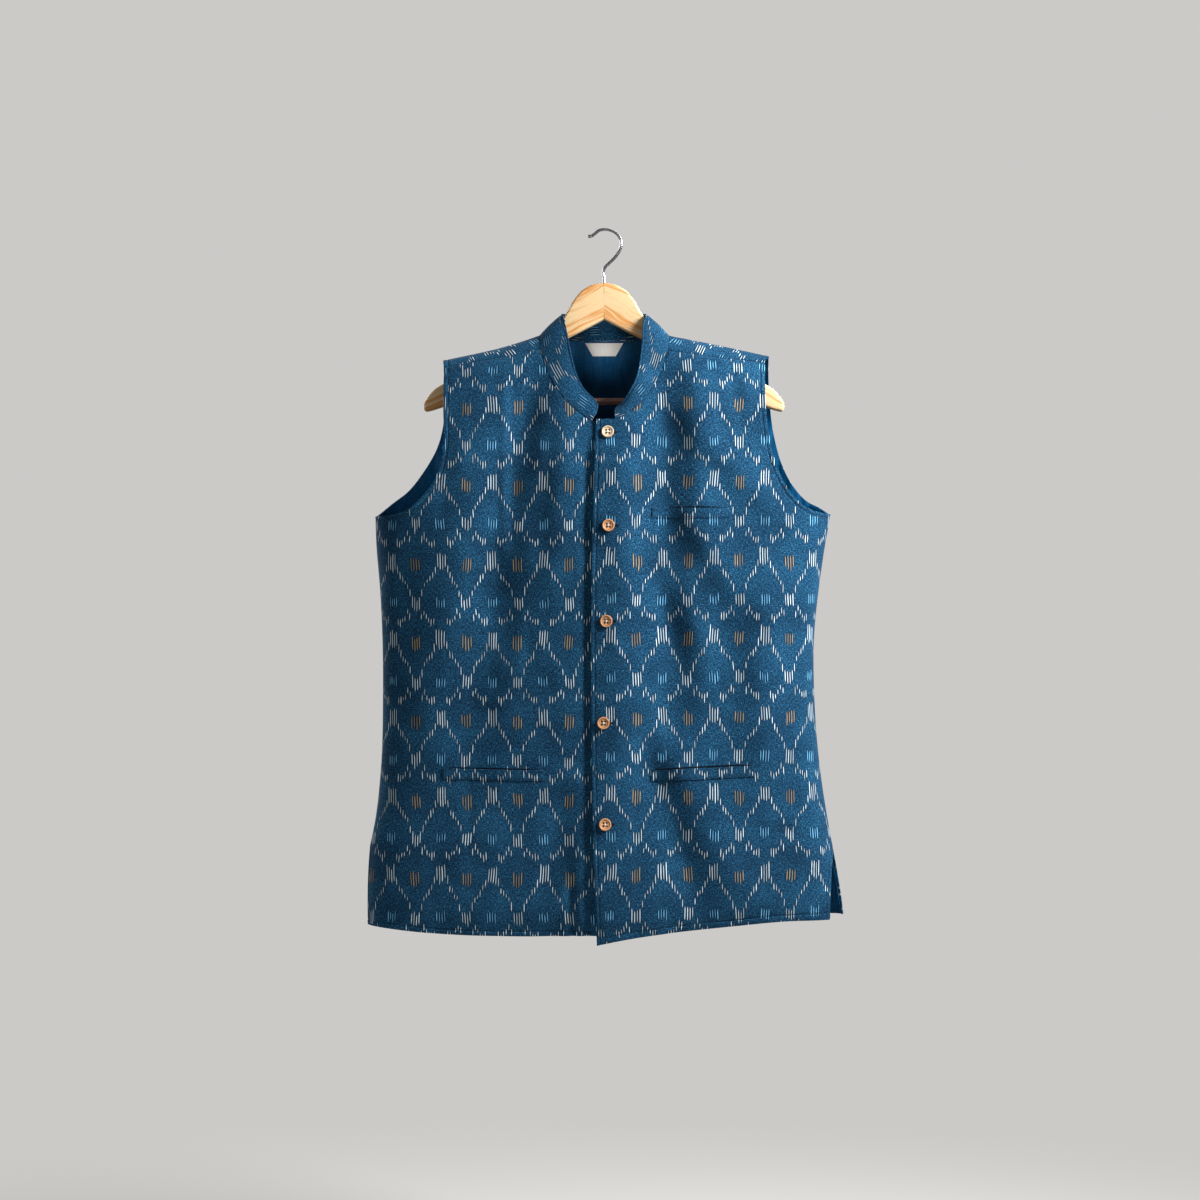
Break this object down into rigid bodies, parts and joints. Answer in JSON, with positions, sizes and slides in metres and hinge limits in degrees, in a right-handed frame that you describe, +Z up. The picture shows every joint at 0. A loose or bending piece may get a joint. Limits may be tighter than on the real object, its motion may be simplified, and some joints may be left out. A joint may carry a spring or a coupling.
{
  "type": "nehru jacket on a wooden hanger",
  "caption": "Sleeveless band-collar jacket in ikat-woven blue cloth, buttoned down the front with welt pockets and side vents, hanging on a wooden hanger.",
  "frame": {"origin": "inside top of the hanger's hook, where a rail or cord carries it", "axes": "+Z up, -Y is the jacket's front, +X is the wearer's left"},
  "size_m": [0.589, 0.1253, 0.8827],
  "materials": {
    "shell_fabric": "matt ikat-woven cotton, teal blue with white, tan and light blue dashes",
    "lining_fabric": "smooth royal-blue lining",
    "label_fabric": "plain white woven label",
    "button_wood": "turned, satin",
    "hanger_wood": "clear-lacquered pale wood",
    "hook_metal": "bright drawn wire"
  },
  "bodies": {
    "root": {"back": "shell_fabric", "back_lining": "lining_fabric", "front_left": "shell_fabric", "front_right": "shell_fabric", "collar": "shell_fabric", "welt_chest": "shell_fabric", "welt_left": "shell_fabric", "welt_right": "shell_fabric", "label": "label_fabric", "button_1": "button_wood", "button_2": "button_wood", "button_3": "button_wood", "button_4": "button_wood", "button_5": "button_wood", "hanger_arm_left": "hanger_wood", "hanger_arm_right": "hanger_wood", "hanger_bar": "hanger_wood", "hanger_hook": "hook_metal"}
  },
  "joints": []
}
